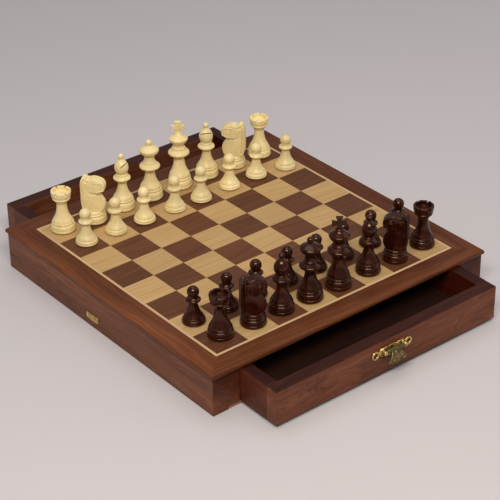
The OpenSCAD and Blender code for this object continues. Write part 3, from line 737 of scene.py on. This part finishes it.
def make_pulls():
    """Brass pulls on both drawers: the plate and its pins ride on the drawer, the shell on its own hinge."""
    lo = (-23.0, -0.6, -9.4)
    x, out, z = grid(lo, (23.0, 7.4, 5.0), PULL_STEP)
    plate = skin(pull_plate_field(x, out, z), lo, PULL_STEP)
    lo = (-13.4, -4.0, -14.4)
    x, out, z = grid(lo, (13.4, 6.2, 2.6), PULL_STEP)
    shell = skin(shell_field(x, out, z), lo, PULL_STEP)
    dome = [(0, -7.9), (0.8, -7.2), (0.8, 1.25), (1.7, 1.25), (1.5, 1.75), (0.9, 2.0), (0, 2.1)]
    pin, pin_faces = lathe(filleted(dome, 0.2), 32)
    for prefix, label, outward in (("fd", "front", -1), ("bd", "back", 1)):
        lo, hi = cad(f"{prefix}_front")
        face_y = lo[1] if outward < 0 else hi[1]
        body = f"{label}_drawer"
        solid = with_grain(pull_points(plate[0], face_y, outward), plate[1], "x", 60)
        piece(f"{label}_pull_plate", [solid], brass_mat, body, [f"{prefix}_pull_plate"], 60)
        solid = with_grain(pull_points(shell[0], face_y, outward, HINGE_OUT), shell[1], "x", 61)
        piece(f"{label}_pull_shell", [solid], darker_brass_mat, f"{label}_shell", [f"{prefix}_shell"], 60)
        pins = []
        for sign in (-1, 1):
            local = np.column_stack([pin[:, 0] + PIN_X * sign, pin[:, 2], pin[:, 1] - 2.0])
            pins.append(with_grain(pull_points(local, face_y, outward), pin_faces, "x", 62))
        piece(f"{label}_pull_pins", pins, brass_mat, body, [f"{prefix}_pull_pins"])


def make_side_plate():
    """The small blank brass plate on the left wall: hollow corners, a raised rim, and two pins."""
    lo, hi = cad("name_plate")
    length, height, face_x = hi[1] - lo[1], hi[2] - lo[2], hi[0]
    centre_y, centre_z, hollow = (lo[1] + hi[1]) / 2, (lo[2] + hi[2]) / 2, 1.1

    def outline(shrink):
        made = []
        for sy, sz, start in ((1, -1, 180), (1, 1, 270), (-1, 1, 0), (-1, -1, 90)):
            made += arc(sy * (length / 2 - shrink), sz * (height / 2 - shrink), hollow, start, start - 90, 5)
        return made

    rows = [(0.0, 0.0), (0.0, 0.5), (0.12, 0.72), (0.35, 0.8), (0.75, 0.8), (0.9, 0.62), (1.05, 0.55)]
    points = [(face_x - out, centre_y + u, centre_z + v) for shrink, out in rows for u, v in outline(shrink)]
    plate = with_grain(points, loft_faces(len(rows), len(outline(0))), "x", 70)
    piece("side_plate", [plate], brass_mat, "box", ["name_plate"], 50)
    dome, dome_faces = lathe([(0, -1.42), (0.45, -1.36), (0.85, -1.15), (1.0, -0.85), (1.0, -0.6),
                              (0.55, -0.6), (0.55, 5.0), (0, 5.5)], 28)
    pins = []
    for sign in (-1, 1):
        local = np.column_stack([face_x + dome[:, 2], centre_y + sign * (length / 2 - 2.2) + dome[:, 0],
                                 centre_z + dome[:, 1]])
        pins.append(with_grain(local, dome_faces, "x", 71))
    piece("side_plate_pins", pins, brass_mat, "box", ["plate_pins"])


# --- men: profiles as (radius, height above the board) ---

FELT, GLUE = 0.6, 0.05
KING_FOOT, BISHOP_FOOT, ROOK_FOOT, PAWN_FOOT = 11.4, 11.0, 11.2, 10.0


def foot(rb, s):
    """The moulded foot that all men share, up to the groove under the bell."""
    return ([(0, FELT + GLUE), (rb - 0.9, FELT + GLUE)] + arc(rb - 1, FELT + 1.05, 1, -80, 0, 5)
            + [(rb, 2.9 * s), (rb - 0.15, 3.3 * s), (rb - 0.4, 3.5 * s), (rb - 0.3, 3.75 * s)]
            + curve((rb - 0.2, 4.1 * s), (rb - 0.35, 6 * s), (rb - 0.6, 7.7 * s), (rb - 1.7, 8.3 * s), 10)
            + [(rb - 1.95, 8.45 * s), (rb - 2, 8.75 * s)] + arc(rb - 2.05, 9.75 * s, 0.8 * s, -65, 75, 7)
            + [(rb - 2.1, 10.75 * s), (rb - 2.1, 11.05 * s)])


def disc(r, z, t, rn):
    """A turned collar of radius r and half thickness t at height z, over a neck of radius rn."""
    low = z - t - 0.1
    return (curve((rn, low - 0.9), (rn + 0.1, low), (r - 2.4, low), (r - 0.9, z - t * 0.62), 8)
            + curve((r - 0.35, z - t * 0.45), (r + 0.12, z - t * 0.1), (r + 0.1, z + t * 0.35),
                    (r - 0.9, z + t * 0.7), 8))


def turned(profile, segments):
    """The body of a man, its corners eased."""
    return lathe(filleted(profile, 0.3), segments)


def ball(r, z, rn):
    """A ball on a neck of radius rn, up to the axis."""
    return arc(0, z, r, -math.degrees(math.acos(rn / r)), 90, 20)


def pawn_profile():
    return (foot(PAWN_FOOT, 0.6) + curve((7.8, 6.9), (7.1, 8.4), (4.5, 10.2), (3.6, 18.6), 16)
            + disc(6.45, 21.7, 1.7, 3.85) + [(4.7, 23.6), (4.3, 24.1)] + ball(5.1, 28.95, 4.2))


ROOK_RIM_Z, ROOK_TOP_Z, ROOK_SLITS, ROOK_SLIT_W = 37.8, 40.0, 6, 1.3


def rook_profile():
    return (foot(ROOK_FOOT, 0.9) + curve((9, 10.3), (8.8, 12.6), (5, 14.6), (4.6, 26), 18)
            + curve((4.6, 26.6), (4.9, 28.9), (6.2, 30.1), (7.4, 31.2), 9) + arc(7.2, 32.4, 0.95, -60, 70, 7)
            + [(7.55, 33.7), (8, 34.1), (8.55, 34.5), (8.75, 35.4), (8.95, 37), (9.0, ROOK_RIM_Z),
               (6.6, ROOK_RIM_Z), (6.5, 36.6), (0, 36.2)])


def bishop_profile():
    return (foot(BISHOP_FOOT, 1) + curve((8.9, 11.4), (8.8, 13.4), (4.9, 15.2), (4, 25), 18)
            + disc(8, 30.9, 1.9, 4.1) + [(6.1, 33), (5.4, 33.5)] + arc(4.75, 34.3, 0.7, -60, 75, 6)
            + [(4.5, 35.3), (4.5, 35.7)] + curve((4.7, 36.1), (7.6, 39.6), (7, 45.6), (2.4, 49.2), 24)
            + [(1.8, 49.6), (1.6, 50.1)] + ball(2.7, 52.4, 1.6))


def queen_profile():
    return (foot(KING_FOOT, 1) + curve((9.5, 11.5), (9.7, 14.2), (5, 15.8), (4.5, 26.6), 18)
            + disc(9.6, 32.3, 2.1, 4.7) + [(7.2, 34.9), (6.2, 35.6)] + arc(5.3, 36.5, 0.75, -60, 75, 6)
            + curve((5.2, 37.6), (4.6, 38.8), (4.5, 41), (4.8, 42.8), 9)
            + curve((5, 43.4), (6.4, 44.8), (8.5, 45.6), (8.95, 47.8), 10)
            + [(9.05, 48.6), (8.95, 49.4), (8.5, 50)]
            + curve((8, 50.4), (6.4, 51.4), (4.2, 52.2), (2.3, 53.2), 9) + [(1.9, 53.6)] + ball(3, 56, 1.9))


def king_profile():
    return (foot(KING_FOOT, 1) + curve((9.5, 11.5), (9.9, 14.8), (5.6, 16.8), (4.8, 28.6), 18)
            + disc(9.9, 34.9, 2.2, 5.2) + [(7.6, 37.6), (6.4, 38.3), (6.1, 38.6)]
            + arc(5.55, 39.7, 0.85, -60, 75, 6) + curve((5.4, 40.9), (5, 41.6), (4.9, 42.4), (5.1, 43.2), 8)
            + curve((5.3, 43.6), (6.5, 45.4), (8, 46.2), (8.5, 48.2), 10)
            + [(8.8, 48.7), (8.85, 49.6), (8.45, 50.2)]
            + curve((8, 50.5), (7, 51.6), (5, 52.6), (3.9, 54.2), 8) + [(3.5, 55.2), (2.9, 55.9), (0, 55.9)])


def knight_base_profile():
    return (foot(ROOK_FOOT, 0.9) + curve((9, 10.3), (9, 11), (8.5, 11.4), (8.2, 11.9), 8)
            + [(7.8, 12.2), (0, 12.2)])


def eased_bar(outline, depth, inset):
    """An outline (x, z) extruded along Y about the axis, with its edges eased by inset."""
    middle = np.mean(outline, axis=0)
    shrunk = [tuple(np.array(p) + (middle - p) / np.linalg.norm(middle - p) * inset) for p in outline]
    rings = ((-depth, shrunk), (-depth + inset, outline), (depth - inset, outline), (depth, shrunk))
    return [(x, y, z) for y, ring in rings for x, z in ring], loft_faces(len(rings), len(outline))


CROSS_Z = 60.6


def king_parts():
    """The king's body and the flared cross on its crown. The arms go up, right, down and left."""
    cross = []
    for turn, (reach, wide) in enumerate(((6.25, 3.0), (6.2, 2.45), (5.3, 2.4), (6.2, 2.45))):
        c, s = cos_sin(-90 * turn)
        half = [(1.7, reach * 0.45), (wide * 0.8, reach * 0.75), (wide, reach - 0.15), (wide - 0.3, reach)]
        arm = [(-1.65, 1.65)] + [(-x, z) for x, z in half] + half[::-1]
        cross += [(x * c - z * s, CROSS_Z + x * s + z * c) for x, z in arm]
    return [turned(king_profile(), 80), eased_bar(cross, 1.58, 0.4)]


def rook_parts():
    """The rook's body with its merlons standing on the rim, a slit between each two."""
    section = filleted([(6.6, ROOK_RIM_Z - 0.4), (9.0, ROOK_RIM_Z - 0.4), (9.1, 39.2), (8.95, 39.75),
                        (8.6, ROOK_TOP_Z), (7, ROOK_TOP_Z), (6.7, 39.75)], 0.25, 2)
    middle = np.mean(section, axis=0)
    parts = [turned(rook_profile(), 72)]
    half_slit, span, eased = math.degrees(ROOK_SLIT_W / 2 / 7.9), 360 / ROOK_SLITS, 1.2
    for slit in range(ROOK_SLITS):
        start, end = 15 + slit * span + half_slit, 15 + (slit + 1) * span - half_slit
        angles = [start, *np.linspace(start + eased, end - eased, 9), end]
        points = []
        for angle in angles:
            c, s = cos_sin(angle)
            shrink = 0.90 if angle in (start, end) else 1.0
            points += [(r * c, r * s, z) for r, z in middle + (np.array(section) - middle) * shrink]
        parts.append((points, loft_faces(len(angles), len(section))))
    return parts


def bishop_parts():
    """The bishop, its mitre cut by a slanting slot."""
    points, faces = turned(bishop_profile(), 80)
    cutter, cutter_faces = rounded_box((0, -10, 0), (12, 10, 1.0), 0.1, 1)
    tilt = Matrix.Translation((1.2, 0, 42.6)) @ Euler((0, math.radians(-38), 0)).to_matrix().to_4x4()
    cutter = [tuple(tilt @ Vector(p)) for p in cutter]
    return [cut(points, faces, cutter, cutter_faces)]


def cut(points, faces, cutter, cutter_faces):
    """A solid with another one taken away."""
    whole = in_scene("whole", outward_mesh("whole", [tuple(p) for p in points], faces))
    knife = in_scene("knife", outward_mesh("knife", cutter, cutter_faces))
    away = whole.modifiers.new("cut", "BOOLEAN")
    away.operation, away.solver, away.object = "DIFFERENCE", "EXACT", knife
    made = bpy.data.meshes.new_from_object(whole.evaluated_get(bpy.context.evaluated_depsgraph_get()))
    bpy.data.objects.remove(whole)
    bpy.data.objects.remove(knife)
    return [tuple(v.co) for v in made.vertices], [tuple(f.vertices) for f in made.polygons]


KNIGHT_STEP = 0.28


def knight_outline():
    """The horse seen from its side, nose towards +X, as (x, height)."""
    return (curve((7.4, 11.8), (10.6, 13), (12.6, 19.5), (9.6, 24), 14)
            + [(6.4, 28.4), (5.5, 29.6), (6.2, 30.7), (8.8, 31.8)]
            + curve((10.2, 32.1), (11.3, 32.6), (11.5, 34.4), (11.4, 37.4), 8) + [(10.9, 38.9)]
            + curve((9.9, 40.3), (7.7, 42.6), (4, 43.8), (0.5, 43.9), 10) + [(-2.4, 43), (-4.5, 43)]
            + curve((-5, 44), (-5.4, 44.9), (-5.9, 45.4), (-6.5, 45.3), 6)
            + curve((-8.5, 44.6), (-10.9, 41.8), (-11.1, 38), (-11.1, 34), 10)
            + curve((-11.1, 26), (-11.4, 17), (-10.2, 13.4), (-8, 11.8), 12))


def groove(distance, width, depth, where):
    """A rounded groove to add to a field, only where it is asked for; a negative depth makes a ridge."""
    return depth * np.exp(-(distance / width) ** 2) * where


def knight_field(x, y, z):
    """The carved horse: flat sides, two creases with a facet between them on the breast, and the cuts."""
    flat = outline_distance(x[:, 0, :], z[:, 0, :], knight_outline())[:, None, :]
    side = np.broadcast_to(flat, x.shape)
    ay = np.abs(y)
    by_height = np.interp(z, [11.8, 15, 24, 30, 38, 42, 46.4], [6.1, 6.3, 6.1, 5.5, 5.3, 4.8, 3.8])
    by_length = np.interp(x, [-12.0, -8.6, 4, 12], [2.9, 6.3, 6.8, 4.0])
    below = 28.0 - z
    past_flank, past_facet = x + 3.2 - 0.274 * below, x + 3.2 - 0.711 * below
    breast = 6.2 - 0.26 * past_flank - 0.14 * np.maximum(past_facet, 0)
    breast = breast + 2.5 * np.maximum(z - 29.2 + 0.2 * (x - 5.0), 0)
    half = smooth_min(np.minimum(by_height, by_length), breast, 0.08)
    field = smooth_max(side, ay - half, 0.7)
    cheek, nose = ay > 2.5, ay > 2.0
    back = (x < -3.8) * (z > 15.0)
    jaw = np.abs(np.hypot(x - 1.6, z - 35.6) - 7.2)
    mane_edge, locks = np.abs(side + 2.6), np.abs((z + 0.35 * x) % 2.4 - 1.2)
    eye = np.hypot((x - 4.3) / 1.25, z - 38.6)
    brow = rod_field(x, 0, z, (1.6, 0, 40.4), (6.4, 0, 40.3), 0, 0)
    mouth = rod_field(x, 0, z, (12.0, 0, 34.0), (7.6, 0, 33.4), 0, 0)
    bridle = rod_field(x, 0, z, (7.9, 0, 38.6), (6.6, 0, 33.6), 0, 0)
    nostril = np.hypot(x - 9.7, z - 35.4)
    ear = np.hypot((x + 6.9) / 0.8, (z - 44.2) / 1.5)
    for distance, width, depth, where in (
            (jaw, 0.5, 0.7, (x < 3.6) * (x > -5.9) * (z < 38.5) * cheek),
            (mane_edge, 0.5, 1.4, back * nose), (locks, 0.35, 0.4, back * (side > -2.6) * (z < 43.0)),
            (np.abs(eye - 1.25), 0.35, 0.55, cheek), (eye, 0.7, -0.35, cheek), (brow, 0.6, -0.45, cheek),
            (nostril, 0.65, 0.8, nose), (mouth, 0.3, 1.0, 1.0), (bridle, 0.8, 0.3, nose),
            (ear, 0.7, 0.6, ay > 1.5)):
        field = field + groove(distance, width, depth, where)
    parting = np.maximum(ay - 0.4 - (z - 43.6) * 0.5, np.maximum(43.6 - z, np.abs(x + 7.0) - 3.2))
    return smooth_max(field, -parting, 0.4)


def knight_parts():
    """The turned base and the carved horse on it."""
    lo = (-13.0, -8.0, 11.0)
    x, y, z = grid(lo, (12.6, 8.0, 47.4), KNIGHT_STEP)
    return [turned(knight_base_profile(), 72), skin(knight_field(x, y, z), lo, KNIGHT_STEP, 1)]


def felt_disc(rb):
    """The felt disc under a man of foot radius rb, its edge a little soft."""
    r = rb - 0.93
    edge = curve((r - 0.4, 0), (r - 0.1, 0), (r, 0.1), (r, 0.25), 4)
    edge += curve((r, 0.33), (r - 0.02, 0.48), (r - 0.12, 0.58), (r - 0.5, FELT), 4)
    return lathe([(0, 0)] + edge + [(0, FELT)], 56)


# how to make the parts of each kind of man, and the radius of its foot
MEN = {"rook": (rook_parts, ROOK_FOOT), "knight": (knight_parts, ROOK_FOOT),
       "bishop": (bishop_parts, BISHOP_FOOT),
       "queen": (lambda: [turned(queen_profile(), 80)], KING_FOOT), "king": (king_parts, KING_FOOT),
       "pawn": (lambda: [turned(pawn_profile(), 64)], PAWN_FOOT)}

# turn of each man about its own axis, in degrees, as in the CAD
TURNS = {"white_rook_1": 10, "white_knight_1": -48, "white_bishop_1": -60, "white_king": -38,
         "white_bishop_2": -118, "white_knight_2": 132, "white_rook_2": 25,
         "black_rook_1": 20, "black_knight_1": -26, "black_bishop_1": 100, "black_king": -40,
         "black_bishop_2": -90, "black_knight_2": 130, "black_rook_2": 5}


def standing_place(node):
    """Middle of the lowest ring of a man's CAD node, in mm."""
    co = np.array([v.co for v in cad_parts[node].data.vertices]) / MM
    low = co[co[:, 2] < co[:, 2].min() + 0.1]
    middle = (low.min(0) + low.max(0)) / 2
    return middle[0], middle[1], BOX_H


def make_men():
    """All 32 men. Each has its own piece of wood and its own felt."""
    shapes = {kind: (parts(), felt_disc(rb)) for kind, (parts, rb) in MEN.items()}
    names = sorted(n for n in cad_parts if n.startswith(("white_", "black_")))
    for number, node in enumerate(names):
        colour, kind = node.split("_")[:2]
        mat, slot = (boxwood_mat, "boxwood") if colour == "white" else (rosewood_mat, "dark_rosewood")
        place, turn = standing_place(node), TURNS.get(node, 37.0 * number)
        wood_parts, felt = shapes[kind]
        solids = []
        for points, faces in wood_parts:
            points, faces, grain, tone = with_grain(points, faces, "z", 500 + number)
            solids.append((moved(points, place, turn), faces, grain, tone))
        body = node + "_man"
        piece(node + "_wood", solids, mat, body, [node], 44)
        points, faces = felt
        solid = with_grain(moved(points, place, turn), faces, "z", 900 + number)
        piece(node + "_felt", [solid], felt_mat, body, sharp=60)


make_squares()
make_border()
make_box()
make_drawer("fd", "front_drawer", "front_drawer", 210, -1)
make_drawer("bd", "back_drawer", "back_drawer", 260, 1)
make_pulls()
make_side_plate()
make_men()

# --- floor, light and camera ---


def make_floor():
    """A wide pale floor under the box."""
    bm = bmesh.new()
    bmesh.ops.create_grid(bm, x_segments=8, y_segments=8, size=12.0)
    mesh = bpy.data.meshes.new("floor")
    bm.to_mesh(mesh)
    bm.free()
    # painted shade: the back colour is darker than the front one
    mesh.materials.append(floor_cloth("floor_pale", (0.61, 0.56, 0.54), (0.49, 0.465, 0.475)))
    floor = in_scene("floor", mesh)


def direction(azimuth, elevation):
    """A way to look, in degrees. Azimuth 0 is +Y and 90 is +X."""
    (ca, sa), (ce, se) = cos_sin(azimuth), cos_sin(elevation)
    return Vector((sa * ce, ca * ce, se))


def soft_box(name, azimuth, elevation, distance, width, height, power, colour):
    """A soft light aimed at the board from the given direction."""
    away = direction(azimuth, elevation)
    lamp = bpy.data.lights.new(name, "AREA")
    lamp.shape, lamp.size, lamp.size_y = "RECTANGLE", width, height
    lamp.energy, lamp.color = power, colour
    obj = in_scene(name, lamp)
    obj.location = away * distance
    obj.rotation_mode = "QUATERNION"
    obj.rotation_quaternion = away.to_track_quat("Z", "Y")


def make_light():
    """A pale tent with a wide key above the camera, a top light, and a weak light from the right."""
    soft_box("key", -141, 50, 1.8, 1.2, 0.32, 21.5, (1.0, 0.97, 0.93))
    soft_box("top", 20, 82, 1.9, 1.4, 1.4, 9.5, (0.98, 0.97, 1.0))
    soft_box("side", 115, 35, 2.0, 1.2, 1.2, 3.0, (0.98, 0.97, 1.0))
    world = bpy.data.worlds.new("tent")
    world.use_nodes = True
    sky = world.node_tree.nodes["Background"]
    sky.inputs["Color"].default_value = (0.93, 0.92, 0.97, 1)
    sky.inputs["Strength"].default_value = 0.29
    scene.world = world
    scene.view_settings.view_transform = "Standard"


def make_camera():
    """The main view: azimuth, elevation and roll in degrees, and the place in metres."""
    azimuth, elevation, roll = 38.679, -30.983, -0.649
    ahead, right = direction(azimuth, elevation), direction(azimuth + 90, 0)
    up = right.cross(ahead)
    c, s = cos_sin(roll)
    right, up = right * c + up * s, up * c - right * s
    lens = bpy.data.cameras.new("camera")
    lens.sensor_width, lens.lens = 36.0, 124.82
    camera = in_scene("camera", lens)
    turn = Matrix((right, up, -ahead)).transposed()
    camera.matrix_world = Matrix.Translation((-0.8172, -1.0325, 0.81851)) @ turn.to_4x4()
    scene.camera = camera


make_floor()
make_light()
make_camera()
